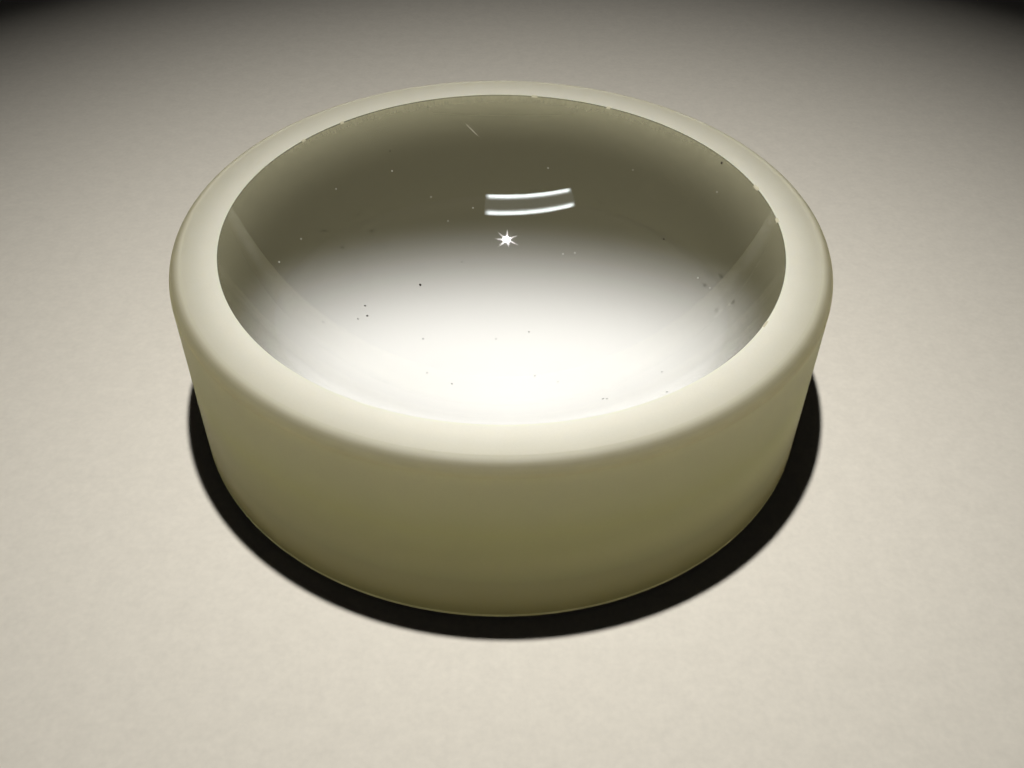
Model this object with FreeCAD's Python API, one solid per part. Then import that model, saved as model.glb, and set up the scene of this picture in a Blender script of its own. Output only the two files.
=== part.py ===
import FreeCAD, Part
import math
import os

# A fused fibre optic faceplate, made as one round block of glass fibres that all run along Z.
# The base is flat and polished, the wall is ground straight, and a deep spherical dish is
# ground and polished into the top, which leaves a flat ground rim around it.
# Millimetres, +Z up. The origin is the centre of the base.

# Driving dimensions
outer_diameter = 50.0
rim_width = 3.6
dish_depth = 12.8
centre_thickness = 2.6
outer_edge_radius = 1.05
base_chamfer = 0.3

# Sizes that follow from them
outer_radius = outer_diameter / 2
aperture_radius = outer_radius - rim_width
rim_height = centre_thickness + dish_depth
dish_radius = (aperture_radius ** 2 + dish_depth ** 2) / (2 * dish_depth)

symmetry_axis = FreeCAD.Vector(0, 0, 1)
base_centre = FreeCAD.Vector(0, 0, 0)
whole_turn = 360


def profile_point(radius, height):
    """A point of the half section, which lies in the XZ plane on the +X side."""
    return FreeCAD.Vector(radius, 0, height)


def arc_through(start, middle, end):
    return Part.Arc(start, middle, end).toShape()


def line(start, end):
    return Part.LineSegment(start, end).toShape()


def edge_rounding():
    """The quarter round that takes the straight wall into the flat rim."""
    centre_x = outer_radius - outer_edge_radius
    centre_z = rim_height - outer_edge_radius
    half_way = outer_edge_radius * math.cos(math.pi / 4)
    return arc_through(
        profile_point(outer_radius, centre_z),
        profile_point(centre_x + half_way, centre_z + half_way),
        profile_point(centre_x, rim_height),
    )


def dish_curve():
    """The dish's circular section, from the sharp inner edge of the rim down to the axis."""
    centre_z = centre_thickness + dish_radius
    half_angle = math.atan2(aperture_radius, dish_radius - dish_depth) / 2
    return arc_through(
        profile_point(aperture_radius, rim_height),
        profile_point(dish_radius * math.sin(half_angle), centre_z - dish_radius * math.cos(half_angle)),
        profile_point(0, centre_thickness),
    )


def half_section():
    """The closed outline that is turned about the axis, starting at the middle of the base."""
    base_edge = profile_point(outer_radius - base_chamfer, 0)
    wall_foot = profile_point(outer_radius, base_chamfer)
    wall_top = profile_point(outer_radius, rim_height - outer_edge_radius)
    rim_outside = profile_point(outer_radius - outer_edge_radius, rim_height)
    rim_inside = profile_point(aperture_radius, rim_height)
    dish_floor = profile_point(0, centre_thickness)
    outline = Part.Wire([
        line(base_centre, base_edge),
        line(base_edge, wall_foot),
        line(wall_foot, wall_top),
        edge_rounding(),
        line(rim_outside, rim_inside),
        dish_curve(),
        line(dish_floor, base_centre),
    ])
    return Part.Face(outline)


def faceplate():
    return half_section().revolve(base_centre, symmetry_axis, whole_turn)


os.makedirs("parts", exist_ok=True)
faceplate().exportStep("parts/faceplate.step")
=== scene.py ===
import bpy
import bmesh
import math
import random
from mathutils import Matrix, Vector


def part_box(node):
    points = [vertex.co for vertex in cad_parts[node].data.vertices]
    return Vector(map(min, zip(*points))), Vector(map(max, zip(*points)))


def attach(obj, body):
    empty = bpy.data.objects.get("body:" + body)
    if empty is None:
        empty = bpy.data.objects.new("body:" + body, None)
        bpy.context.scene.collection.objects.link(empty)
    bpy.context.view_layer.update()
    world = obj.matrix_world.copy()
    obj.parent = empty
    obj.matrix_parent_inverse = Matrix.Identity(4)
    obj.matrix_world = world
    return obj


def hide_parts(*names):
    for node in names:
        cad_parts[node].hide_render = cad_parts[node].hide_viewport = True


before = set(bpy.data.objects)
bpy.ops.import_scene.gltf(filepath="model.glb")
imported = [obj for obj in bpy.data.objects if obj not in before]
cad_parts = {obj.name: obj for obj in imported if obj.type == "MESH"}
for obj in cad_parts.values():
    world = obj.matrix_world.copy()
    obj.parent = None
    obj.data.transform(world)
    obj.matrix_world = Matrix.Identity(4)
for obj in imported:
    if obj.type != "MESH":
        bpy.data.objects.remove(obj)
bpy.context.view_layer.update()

MM = 0.001

# The faceplate's sizes, with the outside taken from the frame
low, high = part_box("faceplate")
outer_radius = min(high.x, -low.x, high.y, -low.y)
rim_height = high.z
rim_width = 3.6 * MM
centre_thickness = 2.6 * MM
outer_edge_radius = 1.05 * MM
base_chamfer = 0.3 * MM
aperture_radius = outer_radius - rim_width
dish_depth = rim_height - centre_thickness
dish_radius = (aperture_radius ** 2 + dish_depth ** 2) / (2 * dish_depth)
dish_centre = Vector((0, 0, centre_thickness + dish_radius))
dish_half_angle = math.atan2(aperture_radius, dish_radius - dish_depth)
wall_height = rim_height - outer_edge_radius
rim_outer_radius = outer_radius - outer_edge_radius

# How finely the turned form is divided, with closer rings beside the sharp inner edge
turn_steps = 720
dish_steps = 64
wall_steps = 6
rounding_steps = 10
rim_steps = 5
base_steps = 4
edge_rings = [0.30 * MM, 0.14 * MM]
sharp_angle = math.radians(25)

# Material slots of the turned form
POLISHED_DISH = 0
GROUND_RIM = 1
GROUND_WALL = 2
POLISHED_BASE = 3
GROUND_CHAMFER = 4
CHIPPED_EDGE = 5

# The glass: its index, and the angles from the fibres between which their light gives way to dull glass
glass_index = 1.8
clear_angle = math.radians(24.5)
dull_angle = math.radians(47)
fibre_light = (0.98, 0.975, 0.97)
dull_glass = (0.094, 0.087, 0.056)

# How much ground glass varies in tone, and what light spreads through under its surface
ground_tone = 0.07
ground_spread = (1.0, 0.95, 0.8)
ground_spread_scale = 1.2 * MM

# The camera, with the photograph's size in pixels
picture_width = 1024
picture_height = 768
lens_length = 36
sensor_width = 36
camera_place = Vector((0, -65.77, 60.03)) * MM
camera_target = Vector((0.9, -1.13, 0)) * MM
camera_roll = math.radians(0.856)

# Where the lamps hang, where the key lamp's beam lands, and how strong the light is
lamp_height = 197.5 * MM
key_place = Vector((-4.4 * MM, -3.0 * MM, lamp_height))
key_width = 6 * MM
beam_aim = Vector((2.0, -6.0, 0)) * MM
beam_radius = 110 * MM
key_power = 0.0432
room_strength = 0.008

# Small marks, each at its pixel of the photograph. Chips on the sharp inner edge, with width and depth
edge_chips = [
    ((757, 187), 0.45 * MM, 0.13 * MM),
    ((778, 220), 0.45 * MM, 0.20 * MM),
    ((344, 123), 0.22 * MM, 0.05 * MM),
    ((304, 140), 0.22 * MM, 0.05 * MM),
    ((534, 96), 0.30 * MM, 0.06 * MM),
    ((610, 106), 0.22 * MM, 0.05 * MM),
    ((768, 325), 0.40 * MM, 0.12 * MM),
]

# How far from the sharp edge a point may lie to be broken away
chip_reach = 0.05 * MM

# Dark specks of dirt and pale specks of dust in the dish, with their size
dark_specks = [
    ((420, 285), 0.32 * MM), ((365, 306), 0.26 * MM), ((367, 316), 0.22 * MM), ((358, 319), 0.18 * MM),
    ((323, 322), 0.14 * MM), ((423, 339), 0.17 * MM), ((529, 332), 0.17 * MM), ((496, 339), 0.13 * MM),
    ((452, 384), 0.15 * MM), ((427, 373), 0.14 * MM), ((558, 382), 0.13 * MM), ((535, 376), 0.13 * MM),
    ((603, 399), 0.15 * MM), ((607, 399), 0.14 * MM), ((667, 392), 0.16 * MM), ((662, 372), 0.13 * MM),
    ((664, 239), 0.26 * MM), ((722, 163), 0.28 * MM), ((462, 262), 0.15 * MM), ((390, 151), 0.20 * MM),
]
pale_specks = [
    ((392, 171), 0.16 * MM), ((431, 197), 0.10 * MM), ((336, 189), 0.12 * MM), ((448, 221), 0.10 * MM),
    ((279, 262), 0.15 * MM), ((563, 254), 0.15 * MM), ((575, 253), 0.12 * MM), ((548, 168), 0.14 * MM),
    ((698, 278), 0.16 * MM), ((710, 288), 0.12 * MM), ((717, 192), 0.11 * MM), ((633, 170), 0.10 * MM),
    ((409, 292), 0.10 * MM), ((544, 281), 0.10 * MM), ((301, 239), 0.11 * MM), ((473, 208), 0.12 * MM),
]

# Fine scratches in the dish, from one pixel to another, with their width
scratches = [
    ((466, 124), (478, 136), 0.05 * MM),
]
scratch_steps = 12
scratch_lift = 0.004 * MM

# Material slots of the small marks
DARK_DIRT = 0
PALE_DUST = 1
SCRATCHED_GLASS = 2


def camera():
    """The camera at the photograph's place, seeing what the photograph shows."""
    data = bpy.data.cameras.new("camera")
    data.sensor_width = sensor_width
    data.lens = lens_length
    data.clip_start = 0.005
    camera_object = bpy.data.objects.new("camera", data)
    bpy.context.scene.collection.objects.link(camera_object)
    facing = (camera_target - camera_place).to_track_quat("-Z", "Y").to_matrix().to_4x4()
    roll = Matrix.Rotation(camera_roll, 4, "Z")
    camera_object.matrix_world = Matrix.Translation(camera_place) @ facing @ roll
    bpy.context.scene.camera = camera_object
    return camera_object


def sight(pixel):
    """The direction from the camera through a pixel of the photograph."""
    focal_pixels = lens_length / sensor_width * picture_width
    across = (pixel[0] - picture_width / 2) / focal_pixels
    down = (pixel[1] - picture_height / 2) / focal_pixels
    return (eye.matrix_world.to_3x3() @ Vector((across, -down, -1))).normalized()


def on_dish(pixel):
    """The point of the dish that a pixel of the photograph shows."""
    direction = sight(pixel)
    from_centre = camera_place - dish_centre
    along = direction.dot(from_centre)
    reach = -along + math.sqrt(along ** 2 - from_centre.length_squared + dish_radius ** 2)
    return camera_place + direction * reach


def on_inner_edge(pixel):
    """The direction round the axis of the point of the inner edge that a pixel shows."""
    direction = sight(pixel)
    place = camera_place + direction * ((rim_height - camera_place.z) / direction.z)
    return math.atan2(place.y, place.x)


def stretch(start, end, steps):
    """Points of a straight stretch of the section, without its first point."""
    return [start + (end - start) * (i / steps) for i in range(1, steps + 1)]


def dish_point(angle):
    """A point of the dish's curve in the section, by its angle from the axis."""
    return Vector((dish_radius * math.sin(angle), dish_centre.z - dish_radius * math.cos(angle)))


def section():
    """The half section from the middle of the base round to the middle of the dish.

    Each entry is the surface that a stretch belongs to and its points, as radius and height."""
    base_edge = Vector((outer_radius - base_chamfer, 0))
    wall_foot = Vector((outer_radius, base_chamfer))
    wall_top = Vector((outer_radius, wall_height))
    rim_inside = Vector((aperture_radius, rim_height))
    rounding = []
    for i in range(1, rounding_steps + 1):
        angle = math.pi / 2 * i / rounding_steps
        rounding.append(Vector((
            rim_outer_radius + outer_edge_radius * math.cos(angle),
            wall_height + outer_edge_radius * math.sin(angle),
        )))
    rim = stretch(rounding[-1], rim_inside, rim_steps)[:-1]
    rim += [rim_inside + Vector((gap, 0)) for gap in edge_rings]
    rim.append(rim_inside)
    dish = [dish_point(dish_half_angle - gap / dish_radius) for gap in reversed(edge_rings)]
    dish += [dish_point(dish_half_angle * (1 - i / dish_steps)) for i in range(2, dish_steps)]
    return [
        (POLISHED_BASE, stretch(Vector((0, 0)), base_edge, base_steps)),
        (GROUND_CHAMFER, [wall_foot]),
        (GROUND_WALL, stretch(wall_foot, wall_top, wall_steps)),
        (GROUND_WALL, rounding),
        (GROUND_RIM, rim),
        (POLISHED_DISH, dish),
    ]


def chip_the_edge(bm):
    """Breaks small scoops out of the sharp inner edge, and gives their faces the broken finish."""
    draws = random.Random(7)
    near_edge = []
    for vert in bm.verts:
        from_axis = math.hypot(vert.co.x, vert.co.y)
        if abs(vert.co.z - rim_height) < 0.4 * MM and abs(from_axis - aperture_radius) < 0.32 * MM:
            near_edge.append(vert)
    for pixel, width, depth in edge_chips:
        turn = on_inner_edge(pixel)
        edge_point = Vector((
            aperture_radius * math.cos(turn),
            aperture_radius * math.sin(turn),
            rim_height,
        ))
        along = Vector((-math.sin(turn), math.cos(turn), 0))
        outward = Vector((math.cos(turn), math.sin(turn), 0))
        for vert in near_edge:
            offset = vert.co - edge_point
            sideways = abs(offset.dot(along)) / (width / 2)
            from_edge = math.hypot(offset.dot(outward), offset.z)
            if sideways > 1 or from_edge > chip_reach:
                continue
            bite = depth * (1 - sideways ** 2) * draws.uniform(0.55, 1.0)
            vert.co += (outward * 0.8 - Vector((0, 0, 0.6))) * bite
            for face in vert.link_faces:
                face.material_index = CHIPPED_EDGE


def turned_faceplate():
    """The whole plate as one closed turned mesh, with a material for each kind of surface."""
    mesh = bpy.data.meshes.new("faceplate_glass")
    bm = bmesh.new()
    base_middle = bm.verts.new((0, 0, 0))
    dish_middle = bm.verts.new((0, 0, centre_thickness))
    rings = []
    surfaces = []
    for surface, points in section():
        for point in points:
            ring = []
            for step in range(turn_steps):
                turn = 2 * math.pi * step / turn_steps
                ring.append(bm.verts.new((point.x * math.cos(turn), point.x * math.sin(turn), point.y)))
            rings.append(ring)
            surfaces.append(surface)
    for step in range(turn_steps):
        after = (step + 1) % turn_steps
        face = bm.faces.new((base_middle, rings[0][after], rings[0][step]))
        face.material_index = POLISHED_BASE
        for inner, outer, surface in zip(rings, rings[1:], surfaces[1:]):
            face = bm.faces.new((inner[step], inner[after], outer[after], outer[step]))
            face.material_index = surface
        face = bm.faces.new((rings[-1][step], rings[-1][after], dish_middle))
        face.material_index = POLISHED_DISH
    bm.normal_update()
    for face in bm.faces:
        face.smooth = True
    for edge in bm.edges:
        if edge.calc_face_angle(0) > sharp_angle:
            edge.smooth = False
    chip_the_edge(bm)
    bm.to_mesh(mesh)
    bm.free()
    piece = bpy.data.objects.new("faceplate_glass", mesh)
    bpy.context.scene.collection.objects.link(piece)
    return piece


def add_speck(bm, draws, pixel, size, finish):
    """One small uneven grain, flattened on to the glass where a pixel shows it."""
    place = on_dish(pixel)
    upward = (dish_centre - place).normalized()
    made = bmesh.ops.create_icosphere(bm, subdivisions=1, radius=size / 2)
    spin = Matrix.Rotation(draws.uniform(0, math.pi), 4, "Z")
    flat = Matrix.Diagonal((1, draws.uniform(0.55, 1.0), 0.5, 1))
    tilt = upward.to_track_quat("Z", "Y").to_matrix().to_4x4()
    seat = Matrix.Translation(place + upward * size * 0.12) @ tilt @ spin @ flat
    for vert in made["verts"]:
        vert.co = seat @ (vert.co * draws.uniform(0.75, 1.1))
        for face in vert.link_faces:
            face.material_index = finish


def add_scratch(bm, start, end, width):
    """A thin strip just over the glass from one pixel to another, narrower at its ends."""
    along = (on_dish(end) - on_dish(start)).normalized()
    previous = None
    for i in range(scratch_steps + 1):
        share = i / scratch_steps
        place = on_dish((start[0] + (end[0] - start[0]) * share, start[1] + (end[1] - start[1]) * share))
        upward = (dish_centre - place).normalized()
        half_width = width / 2 * math.sin(math.pi * (0.1 + 0.8 * share))
        across = along.cross(upward).normalized() * half_width
        lift = upward * scratch_lift
        ends = [bm.verts.new(place + across + lift), bm.verts.new(place - across + lift)]
        if previous:
            face = bm.faces.new((previous[0], ends[0], ends[1], previous[1]))
            face.material_index = SCRATCHED_GLASS
        previous = ends


def specks_and_scratches():
    """Dust, dirt and fine scratches on the dish, as one small mesh seated on the glass."""
    draws = random.Random(11)
    mesh = bpy.data.meshes.new("dust_and_scratches")
    bm = bmesh.new()
    for finish, specks in ((DARK_DIRT, dark_specks), (PALE_DUST, pale_specks)):
        for pixel, size in specks:
            add_speck(bm, draws, pixel, size, finish)
    for start, end, width in scratches:
        add_scratch(bm, start, end, width)
    bm.to_mesh(mesh)
    bm.free()
    piece = bpy.data.objects.new("dust_and_scratches", mesh)
    piece.visible_shadow = False
    bpy.context.scene.collection.objects.link(piece)
    return piece


def new_material(name):
    """A material with its nodes and links, which starts with a Principled BSDF."""
    material = bpy.data.materials.new(name)
    material.use_nodes = True
    return material, material.node_tree.nodes, material.node_tree.links


def new_group(name, inputs, outputs):
    """An empty node group. An input is a name, a kind and a value, and an output a name and a kind."""
    tree = bpy.data.node_groups.new(name, "ShaderNodeTree")
    for label, kind, value in inputs:
        socket = tree.interface.new_socket(label, in_out="INPUT", socket_type=kind)
        socket.default_value = value
    for label, kind in outputs:
        tree.interface.new_socket(label, in_out="OUTPUT", socket_type=kind)
    return tree, tree.nodes.new("NodeGroupInput"), tree.nodes.new("NodeGroupOutput")


def place_group(nodes, tree, **values):
    """Puts a node group into a material with its own values."""
    node = nodes.new("ShaderNodeGroup")
    node.node_tree = tree
    for label, value in values.items():
        node.inputs[label.replace("_", " ").title()].default_value = value
    return node


def place_on_plate():
    """Group: how high a point is on the plate and how far from its axis."""
    tree, _, result = new_group(
        "place_on_plate",
        [],
        [("Height", "NodeSocketFloat"), ("Radius", "NodeSocketFloat")],
    )
    nodes = tree.nodes
    links = tree.links
    place = nodes.new("ShaderNodeTexCoord")
    split = nodes.new("ShaderNodeSeparateXYZ")
    flat = nodes.new("ShaderNodeCombineXYZ")
    length = nodes.new("ShaderNodeVectorMath")
    length.operation = "LENGTH"
    links.new(place.outputs["Object"], split.inputs[0])
    links.new(split.outputs["X"], flat.inputs["X"])
    links.new(split.outputs["Y"], flat.inputs["Y"])
    links.new(flat.outputs[0], length.inputs[0])
    links.new(split.outputs["Z"], result.inputs["Height"])
    links.new(length.outputs["Value"], result.inputs["Radius"])
    return tree


def fine_grind():
    """Group: the fine grain of a ground or rough surface, as a height and as a faint change of tone."""
    tree, given, result = new_group(
        "fine_grind",
        [
            ("Grain", "NodeSocketFloat", 7000),
            ("Mottle", "NodeSocketFloat", 500),
            ("Tone", "NodeSocketFloat", 0.05),
        ],
        [("Height", "NodeSocketFloat"), ("Brightness", "NodeSocketFloat")],
    )
    nodes = tree.nodes
    links = tree.links
    place = nodes.new("ShaderNodeTexCoord")
    grain = nodes.new("ShaderNodeTexNoise")
    grain.inputs["Detail"].default_value = 2
    mottle = nodes.new("ShaderNodeTexNoise")
    mottle.inputs["Detail"].default_value = 4
    both = nodes.new("ShaderNodeMath")
    both.operation = "ADD"
    centred = nodes.new("ShaderNodeMath")
    centred.operation = "SUBTRACT"
    centred.inputs[1].default_value = 1
    tone = nodes.new("ShaderNodeMath")
    tone.operation = "MULTIPLY_ADD"
    tone.inputs[2].default_value = 1
    links.new(place.outputs["Object"], grain.inputs["Vector"])
    links.new(place.outputs["Object"], mottle.inputs["Vector"])
    links.new(given.outputs["Grain"], grain.inputs["Scale"])
    links.new(given.outputs["Mottle"], mottle.inputs["Scale"])
    links.new(grain.outputs["Fac"], both.inputs[0])
    links.new(mottle.outputs["Fac"], both.inputs[1])
    links.new(both.outputs[0], centred.inputs[0])
    links.new(centred.outputs[0], tone.inputs[0])
    links.new(given.outputs["Tone"], tone.inputs[1])
    links.new(grain.outputs["Fac"], result.inputs["Height"])
    links.new(tone.outputs[0], result.inputs["Brightness"])
    return tree


def share_between(nodes, links, value, start, end):
    """Goes from 0 to 1 while a value goes from start to end."""
    share = nodes.new("ShaderNodeMapRange")
    share.inputs["From Min"].default_value = start
    share.inputs["From Max"].default_value = end
    links.new(value, share.inputs["Value"])
    return share.outputs["Result"]


def calculate(nodes, links, operation, first, second):
    """A step of arithmetic on a socket and another socket or a number."""
    step = nodes.new("ShaderNodeMath")
    step.operation = operation
    links.new(first, step.inputs[0])
    if isinstance(second, bpy.types.NodeSocket):
        links.new(second, step.inputs[1])
    else:
        step.inputs[1].default_value = second
    return step.outputs[0]


def colour_along(nodes, links, value, stops):
    """A colour that changes along a value, from stops of a place and its colour."""
    start = stops[0][0]
    end = stops[-1][0]
    ramp = nodes.new("ShaderNodeValToRGB")
    links.new(share_between(nodes, links, value, start, end), ramp.inputs[0])
    elements = ramp.color_ramp.elements
    for i, (place, colour) in enumerate(stops):
        position = (place - start) / (end - start)
        if i == 0:
            element = elements[0]
        elif i == len(stops) - 1:
            element = elements[-1]
        else:
            element = elements.new(position)
        element.position = position
        element.color = (*colour, 1)
    return ramp.outputs["Color"]


def distance_from_middle(nodes, links, coordinate):
    """How far a coordinate lies from zero, either way."""
    distance = nodes.new("ShaderNodeMath")
    distance.operation = "ABSOLUTE"
    links.new(coordinate, distance.inputs[0])
    return distance.outputs[0]


def ground_finish(nodes, links, shader, colour, tone):
    """Gives a rough surface its colour and a fine grain, as grinding leaves on glass."""
    grind = place_group(nodes, FINE_GRIND, tone=tone)
    grained = nodes.new("ShaderNodeVectorMath")
    grained.operation = "SCALE"
    links.new(colour, grained.inputs[0])
    links.new(grind.outputs["Brightness"], grained.inputs["Scale"])
    links.new(grained.outputs[0], shader.inputs["Base Color"])
    bump = nodes.new("ShaderNodeBump")
    bump.inputs["Strength"].default_value = 0.25
    bump.inputs["Distance"].default_value = 0.01 * MM
    links.new(grind.outputs["Height"], bump.inputs["Height"])
    links.new(bump.outputs[0], shader.inputs["Normal"])


def fibre_ends(nodes, links):
    """The fibres' ends seen from inside: light along the fibres, and dull glass at a slant to them."""
    upright = nodes.new("ShaderNodeVectorTransform")
    upright.vector_type = "NORMAL"
    upright.convert_from = "OBJECT"
    upright.convert_to = "WORLD"
    upright.inputs[0].default_value = (0, 0, 1)
    cone = nodes.new("ShaderNodeLayerWeight")
    cone.inputs["Blend"].default_value = 0.5
    outside_cone = nodes.new("ShaderNodeMapRange")
    outside_cone.interpolation_type = "SMOOTHSTEP"
    outside_cone.inputs["From Min"].default_value = 1 - math.cos(clear_angle)
    outside_cone.inputs["From Max"].default_value = 1 - math.cos(dull_angle)
    along = nodes.new("ShaderNodeBsdfDiffuse")
    along.inputs["Color"].default_value = (*fibre_light, 1)
    across = nodes.new("ShaderNodeBsdfDiffuse")
    across.inputs["Color"].default_value = (*dull_glass, 1)
    mix = nodes.new("ShaderNodeMixShader")
    links.new(upright.outputs[0], cone.inputs["Normal"])
    links.new(upright.outputs[0], along.inputs["Normal"])
    links.new(upright.outputs[0], across.inputs["Normal"])
    links.new(cone.outputs["Facing"], outside_cone.inputs["Value"])
    links.new(outside_cone.outputs["Result"], mix.inputs[0])
    links.new(along.outputs[0], mix.inputs[1])
    links.new(across.outputs[0], mix.inputs[2])
    return mix.outputs[0]


def turned_back(nodes, links):
    """The inner side of the wall turns light back towards the base, as each fibre's own wall does.

    Light that meets it squarely runs across the fibres, so it doesn't get through and looks dull.
    The rounding above the wall is dull too, since it cuts across the fibres."""
    mirror = nodes.new("ShaderNodeBsdfGlossy")
    mirror.inputs["Color"].default_value = (0.97, 0.97, 0.95, 1)
    mirror.inputs["Roughness"].default_value = 0.0
    dull = nodes.new("ShaderNodeBsdfDiffuse")
    dull.inputs["Color"].default_value = (0.80, 0.77, 0.56, 1)
    slant = nodes.new("ShaderNodeLayerWeight")
    slant.inputs["Blend"].default_value = 0.5
    turned = share_between(nodes, links, slant.outputs["Facing"], 0.08, 0.16)
    place = place_group(nodes, PLACE_ON_PLATE)
    height = place.outputs["Height"]
    below_rounding = share_between(nodes, links, height, wall_height + 0.1 * MM, wall_height)
    turned = calculate(nodes, links, "MULTIPLY", turned, below_rounding)
    mix = nodes.new("ShaderNodeMixShader")
    links.new(turned, mix.inputs[0])
    links.new(dull.outputs[0], mix.inputs[1])
    links.new(mirror.outputs[0], mix.inputs[2])
    return mix.outputs[0]


def two_sided(nodes, links, outer, inner):
    """One shader for the outer side of a surface and another for its inner side."""
    side = nodes.new("ShaderNodeNewGeometry")
    mix = nodes.new("ShaderNodeMixShader")
    links.new(side.outputs["Backfacing"], mix.inputs[0])
    links.new(outer, mix.inputs[1])
    links.new(inner, mix.inputs[2])
    return mix.outputs[0]


def let_light_in(nodes, links, shader, scattered):
    """Light from a lamp passes this surface straight, and so does scattered light where that is asked."""
    path = nodes.new("ShaderNodeLightPath")
    clear = nodes.new("ShaderNodeBsdfTransparent")
    clear.inputs["Color"].default_value = (0.95, 0.95, 0.95, 1)
    mix = nodes.new("ShaderNodeMixShader")
    passing = path.outputs["Is Shadow Ray"]
    if scattered:
        passing = calculate(nodes, links, "MAXIMUM", passing, path.outputs["Is Diffuse Ray"])
    links.new(passing, mix.inputs[0])
    links.new(shader, mix.inputs[1])
    links.new(clear.outputs[0], mix.inputs[2])
    return mix.outputs[0]


def keep_light(nodes, links, shader):
    """Little of the light on this surface goes on to the floor beside it, so that the shadow stays deep."""
    path = nodes.new("ShaderNodeLightPath")
    dim = nodes.new("ShaderNodeBsdfDiffuse")
    dim.inputs["Color"].default_value = (0.05, 0.045, 0.03, 1)
    mix = nodes.new("ShaderNodeMixShader")
    links.new(path.outputs["Is Diffuse Ray"], mix.inputs[0])
    links.new(shader, mix.inputs[1])
    links.new(dim.outputs[0], mix.inputs[2])
    return mix.outputs[0]


def lit_through(nodes, links, shader, colour, share):
    """Mixes in light that comes through the glass to this surface from its inner side."""
    glow = nodes.new("ShaderNodeBsdfTranslucent")
    glow.inputs["Color"].default_value = (*colour, 1)
    mix = nodes.new("ShaderNodeMixShader")
    mix.inputs[0].default_value = share
    links.new(shader, mix.inputs[1])
    links.new(glow.outputs[0], mix.inputs[2])
    return mix.outputs[0]


def polished_dish():
    """Clear polished glass, with a faint milky layer high on its sides that is drawn out along the fibres:
    partly a real clouding of the glass and partly painted light, a glow of scattered light that rises
    towards the rim, with a thin line of painted shade just under the sharp edge.
    """
    material, nodes, links = new_material("polished_dish")
    shader = nodes["Principled BSDF"]
    shader.inputs["Base Color"].default_value = (0.98, 0.98, 0.95, 1)
    shader.inputs["Roughness"].default_value = 0.02
    shader.inputs["IOR"].default_value = glass_index
    shader.inputs["Transmission Weight"].default_value = 1.0
    haze_and_painted_glow = nodes.new("ShaderNodeBsdfDiffuse")
    haze_and_painted_glow.inputs["Color"].default_value = (0.81, 0.77, 0.52, 1)
    place = place_group(nodes, PLACE_ON_PLATE)
    height = place.outputs["Height"]
    # Painted light: the milky layer grows towards the rim and where the glass is seen squarely, as a glow
    # of scattered light, and stops just under the sharp edge, which paints a thin darker line of shade
    # there
    painted_glow_towards_rim = share_between(nodes, links, height, 11.3 * MM, rim_height)
    painted_glow_towards_rim = calculate(nodes, links, "POWER", painted_glow_towards_rim, 2)
    below_edge = share_between(nodes, links, height, rim_height, rim_height - 0.1 * MM)
    slant = nodes.new("ShaderNodeLayerWeight")
    slant.inputs["Blend"].default_value = 0.5
    seen_squarely = share_between(nodes, links, slant.outputs["Facing"], 1, 0.1)
    coordinates = nodes.new("ShaderNodeTexCoord")
    drawn_out = nodes.new("ShaderNodeMapping")
    drawn_out.inputs["Scale"].default_value = (1, 1, 0.03)
    streaks = nodes.new("ShaderNodeTexNoise")
    streaks.inputs["Scale"].default_value = 3600
    streaks.inputs["Detail"].default_value = 1
    links.new(coordinates.outputs["Object"], drawn_out.inputs["Vector"])
    links.new(drawn_out.outputs[0], streaks.inputs["Vector"])
    streaked = calculate(nodes, links, "MULTIPLY", streaks.outputs["Fac"], 0.20)
    strength = calculate(nodes, links, "ADD", streaked, 0.30)
    for share in (painted_glow_towards_rim, below_edge, seen_squarely):
        strength = calculate(nodes, links, "MULTIPLY", strength, share)
    hazed_with_painted_glow = nodes.new("ShaderNodeMixShader")
    links.new(strength, hazed_with_painted_glow.inputs[0])
    links.new(shader.outputs[0], hazed_with_painted_glow.inputs[1])
    links.new(haze_and_painted_glow.outputs[0], hazed_with_painted_glow.inputs[2])
    surface = let_light_in(nodes, links, hazed_with_painted_glow.outputs[0], scattered=True)
    links.new(surface, nodes["Material Output"].inputs["Surface"])
    return material


def polished_base():
    """The fibres' ends as seen from inside, and milky polished glass as seen from below."""
    material, nodes, links = new_material("polished_base")
    milky = (0.80, 0.78, 0.66)
    shader = nodes["Principled BSDF"]
    shader.inputs["Base Color"].default_value = (*milky, 1)
    shader.inputs["Roughness"].default_value = 0.12
    shader.inputs["IOR"].default_value = glass_index
    outer = lit_through(nodes, links, shader.outputs[0], milky, 0.5)
    surface = two_sided(nodes, links, outer, fibre_ends(nodes, links))
    links.new(surface, nodes["Material Output"].inputs["Surface"])
    return material


def ground_chamfer():
    """The narrow bevel at the foot, where light that came down the fibres gets out."""
    material, nodes, links = new_material("ground_chamfer")
    shader = nodes["Principled BSDF"]
    shader.inputs["Base Color"].default_value = (0.60, 0.57, 0.40, 1)
    shader.inputs["Roughness"].default_value = 0.5
    shader.inputs["IOR"].default_value = 1.5
    outer = lit_through(nodes, links, shader.outputs[0], (0.80, 0.79, 0.50), 0.18)
    outer = keep_light(nodes, links, outer)
    surface = two_sided(nodes, links, outer, fibre_ends(nodes, links))
    links.new(surface, nodes["Material Output"].inputs["Surface"])
    return material


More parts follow.
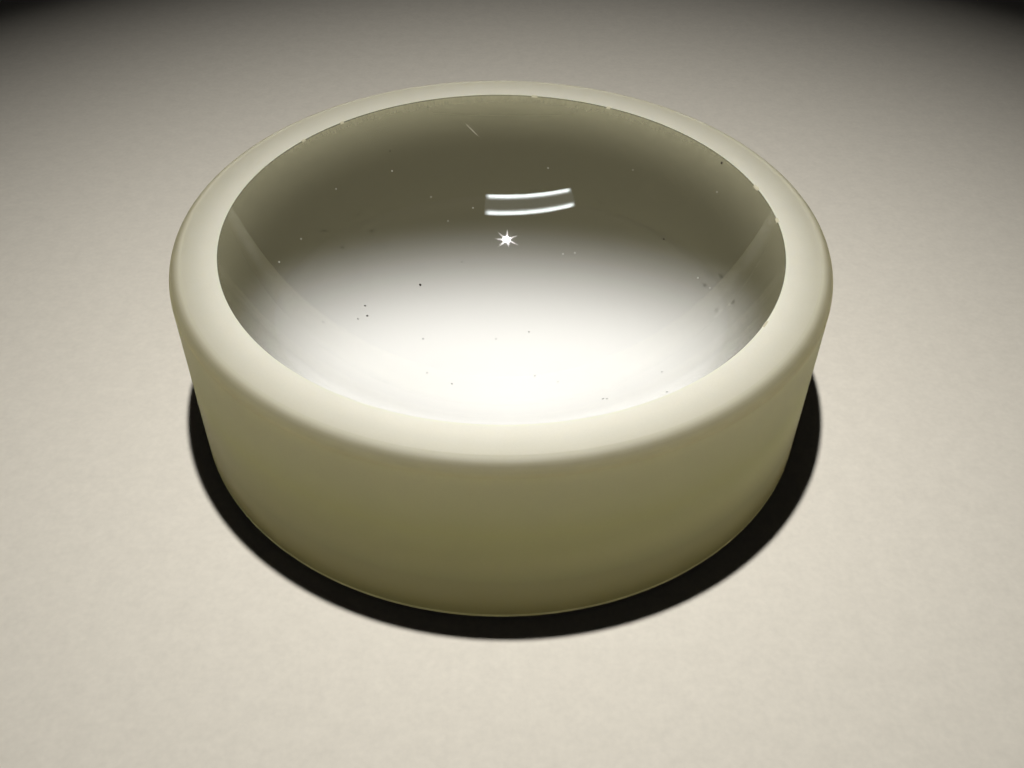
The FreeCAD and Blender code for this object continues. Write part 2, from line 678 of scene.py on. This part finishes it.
def ground_rim():
    """Ground glass over the fibres' ends: partly milky, and partly blurred glass that is seen through."""
    material, nodes, links = new_material("ground_rim")
    shader = nodes["Principled BSDF"]
    shader.inputs["Roughness"].default_value = 0.5
    shader.inputs["IOR"].default_value = 1.5
    shader.inputs["Transmission Weight"].default_value = 0.5
    shader.inputs["Subsurface Weight"].default_value = 1.0
    shader.inputs["Subsurface Radius"].default_value = ground_spread
    shader.inputs["Subsurface Scale"].default_value = ground_spread_scale
    place = place_group(nodes, PLACE_ON_PLATE)
    # Painted light and shade: the rim's colour is lighter at the inner edge and darker towards the outer
    # edge, standing in for light that leaks out of the glass at its edges
    colour = colour_along(nodes, links, place.outputs["Radius"], [
        (aperture_radius, (0.85, 0.86, 0.66)),
        (aperture_radius + 0.25 * MM, (0.80, 0.775, 0.655)),
        (aperture_radius + 0.9 * MM, (0.74, 0.71, 0.59)),
        (aperture_radius + 1.6 * MM, (0.64, 0.615, 0.50)),
        (rim_outer_radius, (0.53, 0.50, 0.38)),
    ])
    ground_finish(nodes, links, shader, colour, ground_tone)
    inner = nodes.new("ShaderNodeBsdfDiffuse")
    inner.inputs["Color"].default_value = (0.60, 0.58, 0.46, 1)
    surface = two_sided(nodes, links, shader.outputs[0], inner.outputs[0])
    surface = let_light_in(nodes, links, surface, scattered=False)
    links.new(surface, nodes["Material Output"].inputs["Surface"])
    return material


def ground_wall():
    """Ground glass across the fibres: olive, with painted shade that makes it darker towards the foot where
    less light comes down, painted light that makes it paler at the top of the wall, and painted shading
    across the rounding above.

    The last of it, just above the bevel, is a painted thin pale line of light from the bevel below."""
    material, nodes, links = new_material("ground_wall")
    # Painted light: a pale line just above the bevel, for the light that gets out of the bevel below
    painted_light_line = (0.46, 0.44, 0.22)
    glow_share = 0.5
    shader = nodes["Principled BSDF"]
    shader.inputs["Roughness"].default_value = 0.6
    shader.inputs["IOR"].default_value = 1.5
    shader.inputs["Subsurface Weight"].default_value = 1.0
    shader.inputs["Subsurface Radius"].default_value = ground_spread
    shader.inputs["Subsurface Scale"].default_value = ground_spread_scale
    place = place_group(nodes, PLACE_ON_PLATE)
    # Painted light and shade by height: darker towards the foot, paler at the top of the wall, a darker
    # band across the rounding, and a pale line of light just above the bevel
    colour = colour_along(nodes, links, place.outputs["Height"], [
        (0, painted_light_line),
        (base_chamfer + 0.18 * MM, painted_light_line),
        (base_chamfer + 0.25 * MM, (0.21, 0.185, 0.072)),
        (4 * MM, (0.23, 0.21, 0.086)),
        (9 * MM, (0.445, 0.425, 0.18)),
        (wall_height, (0.63, 0.60, 0.36)),
        (wall_height + 0.2 * MM, (0.555, 0.515, 0.305)),
        (wall_height + 0.45 * MM, (0.37, 0.34, 0.195)),
        (wall_height + 0.74 * MM, (0.26, 0.235, 0.15)),
        (wall_height + 0.88 * MM, (0.265, 0.245, 0.165)),
        (wall_height + 1.0 * MM, (0.335, 0.315, 0.235)),
        (rim_height, (0.40, 0.385, 0.305)),
    ])
    ground_finish(nodes, links, shader, colour, ground_tone)
    through = nodes.new("ShaderNodeVectorMath")
    through.operation = "SCALE"
    through.inputs["Scale"].default_value = glow_share
    glow = nodes.new("ShaderNodeBsdfTranslucent")
    both = nodes.new("ShaderNodeAddShader")
    links.new(colour, through.inputs[0])
    links.new(through.outputs[0], glow.inputs["Color"])
    links.new(shader.outputs[0], both.inputs[0])
    links.new(glow.outputs[0], both.inputs[1])
    surface = keep_light(nodes, links, both.outputs[0])
    surface = two_sided(nodes, links, surface, turned_back(nodes, links))
    links.new(surface, nodes["Material Output"].inputs["Surface"])
    return material


def plain_finish(name, colour, roughness):
    """A small mark's own finish, a little darker low on the plate, with a strong grain."""
    low_share = 0.8
    grain_tone = 0.3
    material, nodes, links = new_material(name)
    shader = nodes["Principled BSDF"]
    shader.inputs["Roughness"].default_value = roughness
    place = place_group(nodes, PLACE_ON_PLATE)
    darker = tuple(part * low_share for part in colour)
    toned = colour_along(nodes, links, place.outputs["Height"], [(0, darker), (rim_height, colour)])
    ground_finish(nodes, links, shader, toned, grain_tone)
    return material


def pale_floor():
    """A wide sheet of plain pale paper, a hair below the plate so that the two faces don't meet."""
    half = 800 * MM
    gap = 0.02 * MM
    mesh = bpy.data.meshes.new("floor")
    corners = [(-half, -half, 0), (half, -half, 0), (half, half, 0), (-half, half, 0)]
    mesh.from_pydata(corners, [], [(0, 1, 2, 3)])
    floor = bpy.data.objects.new("floor", mesh)
    floor.location.z = -gap
    bpy.context.scene.collection.objects.link(floor)
    material, nodes, links = new_material("pale_paper")
    shader = nodes["Principled BSDF"]
    shader.inputs["Roughness"].default_value = 0.9
    shader.inputs["Specular IOR Level"].default_value = 0.1
    fibres = place_group(nodes, FINE_GRIND, grain=2200, mottle=700, tone=0.13)
    paper = nodes.new("ShaderNodeRGB")
    paper.outputs[0].default_value = (0.75, 0.705, 0.615, 1)
    grained = nodes.new("ShaderNodeVectorMath")
    grained.operation = "SCALE"
    links.new(paper.outputs[0], grained.inputs[0])
    links.new(fibres.outputs["Brightness"], grained.inputs["Scale"])
    links.new(grained.outputs[0], shader.inputs["Base Color"])
    mesh.materials.append(material)


def hang_for_reflection(shape, height):
    """Hangs a flat lamp shape that shows only as a reflection in polished glass."""
    shape.location.z = height
    shape.visible_camera = False
    shape.visible_diffuse = False
    shape.visible_transmission = False
    shape.visible_volume_scatter = False
    shape.visible_shadow = False
    bpy.context.scene.collection.objects.link(shape)


def tube_lamps():
    """Two long tubes side by side in one pale fitting, soft at their edges."""
    left = -88.5 * MM
    right = 20.5 * MM
    far = -65 * MM
    near = -34 * MM
    half_length = (right - left) / 2
    half_width = (near - far) / 2
    tube_offset = 11.5 * MM
    tube_strength = 13
    panel_strength = 0.35
    mesh = bpy.data.meshes.new("tube_lamps")
    corners = [
        (-half_length, -half_width, 0), (half_length, -half_width, 0),
        (half_length, half_width, 0), (-half_length, half_width, 0),
    ]
    mesh.from_pydata(corners, [], [(3, 2, 1, 0)])
    fitting = bpy.data.objects.new("tube_lamps", mesh)
    fitting.location = ((left + right) / 2, (far + near) / 2, 0)
    material, nodes, links = new_material("tube_light")
    coordinates = nodes.new("ShaderNodeTexCoord")
    split = nodes.new("ShaderNodeSeparateXYZ")
    links.new(coordinates.outputs["Object"], split.inputs[0])
    sideways = distance_from_middle(nodes, links, split.outputs["Y"])
    lengthways = distance_from_middle(nodes, links, split.outputs["X"])
    inner_side = share_between(nodes, links, sideways, tube_offset - 6.5 * MM, tube_offset - 1 * MM)
    inner_side = calculate(nodes, links, "POWER", inner_side, 2.5)
    outer_side = share_between(nodes, links, sideways, tube_offset + 3.5 * MM, tube_offset + 1.5 * MM)
    short_of_end = share_between(nodes, links, lengthways, half_length, half_length - 6 * MM)
    tube = calculate(nodes, links, "MULTIPLY", inner_side, outer_side)
    tube = calculate(nodes, links, "MULTIPLY", tube, short_of_end)
    tube = calculate(nodes, links, "MULTIPLY", tube, tube_strength)
    between_tubes = share_between(nodes, links, sideways, tube_offset + 2 * MM, tube_offset)
    panel = calculate(nodes, links, "MULTIPLY", between_tubes, panel_strength)
    glow = nodes.new("ShaderNodeEmission")
    glow.inputs["Color"].default_value = (0.93, 0.99, 1.0, 1)
    links.new(calculate(nodes, links, "ADD", tube, panel), glow.inputs["Strength"])
    links.new(glow.outputs[0], nodes["Material Output"].inputs["Surface"])
    mesh.materials.append(material)
    hang_for_reflection(fitting, lamp_height)


def lamp_rays():
    """Fine rays of light round the lamp's bright disc."""
    ray_count = 7
    half_width = 1.6 * MM
    draws = random.Random(3)
    mesh = bpy.data.meshes.new("lamp_rays")
    corners = []
    faces = []
    for i in range(ray_count):
        turn = 2 * math.pi * (i + draws.uniform(-0.15, 0.15)) / ray_count
        tip = draws.uniform(10.5, 15.5) * MM
        outward = Vector((math.cos(turn), math.sin(turn), 0))
        sideways = Vector((-outward.y, outward.x, 0)) * half_width
        root = -outward * MM
        corners += [outward * tip, root + sideways, root - sideways]
        faces.append((3 * i, 3 * i + 1, 3 * i + 2))
    mesh.from_pydata(corners, [], faces)
    rays = bpy.data.objects.new("lamp_rays", mesh)
    rays.location = key_place
    material, nodes, links = new_material("lamp_glare")
    glow = nodes.new("ShaderNodeEmission")
    glow.inputs["Color"].default_value = (1.0, 0.96, 1.0, 1)
    glow.inputs["Strength"].default_value = 8
    links.new(glow.outputs[0], nodes["Material Output"].inputs["Surface"])
    mesh.materials.append(material)
    hang_for_reflection(rays, lamp_height - 0.2 * MM)


def key_lamp():
    """The small lamp above the plate, whose beam makes a soft pool of light on the floor."""
    data = bpy.data.lights.new("key", "AREA")
    data.shape = "DISK"
    data.size = key_width
    data.energy = key_power
    data.color = (1.0, 0.985, 0.95)
    data.spread = 2 * math.atan(beam_radius / lamp_height)
    key = bpy.data.objects.new("key", data)
    key.location = key_place
    key.rotation_euler = (beam_aim - key_place).to_track_quat("-Z", "Y").to_euler()
    bpy.context.scene.collection.objects.link(key)


def room_light():
    """The faint light that the room sends back."""
    world = bpy.data.worlds.new("room")
    bpy.context.scene.world = world
    world.use_nodes = True
    background = world.node_tree.nodes["Background"]
    background.inputs["Color"].default_value = (1, 0.99, 0.97, 1)
    background.inputs["Strength"].default_value = room_strength


eye = camera()
PLACE_ON_PLATE = place_on_plate()
FINE_GRIND = fine_grind()

# The finishes go on in the order of the material slots named above
plate = turned_faceplate()
plate.data.materials.append(polished_dish())
plate.data.materials.append(ground_rim())
plate.data.materials.append(ground_wall())
plate.data.materials.append(polished_base())
plate.data.materials.append(ground_chamfer())
plate.data.materials.append(plain_finish("chipped_edge", (0.62, 0.58, 0.42), 0.35))
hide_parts("faceplate")
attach(plate, "root")

marks = specks_and_scratches()
marks.data.materials.append(plain_finish("dark_dirt", (0.03, 0.02, 0.012), 0.8))
marks.data.materials.append(plain_finish("pale_dust", (0.80, 0.80, 0.76), 0.8))
marks.data.materials.append(plain_finish("scratched_glass", (0.60, 0.58, 0.48), 0.5))
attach(marks, "root")

pale_floor()
tube_lamps()
lamp_rays()
key_lamp()
room_light()
bpy.context.scene.view_settings.view_transform = "Standard"
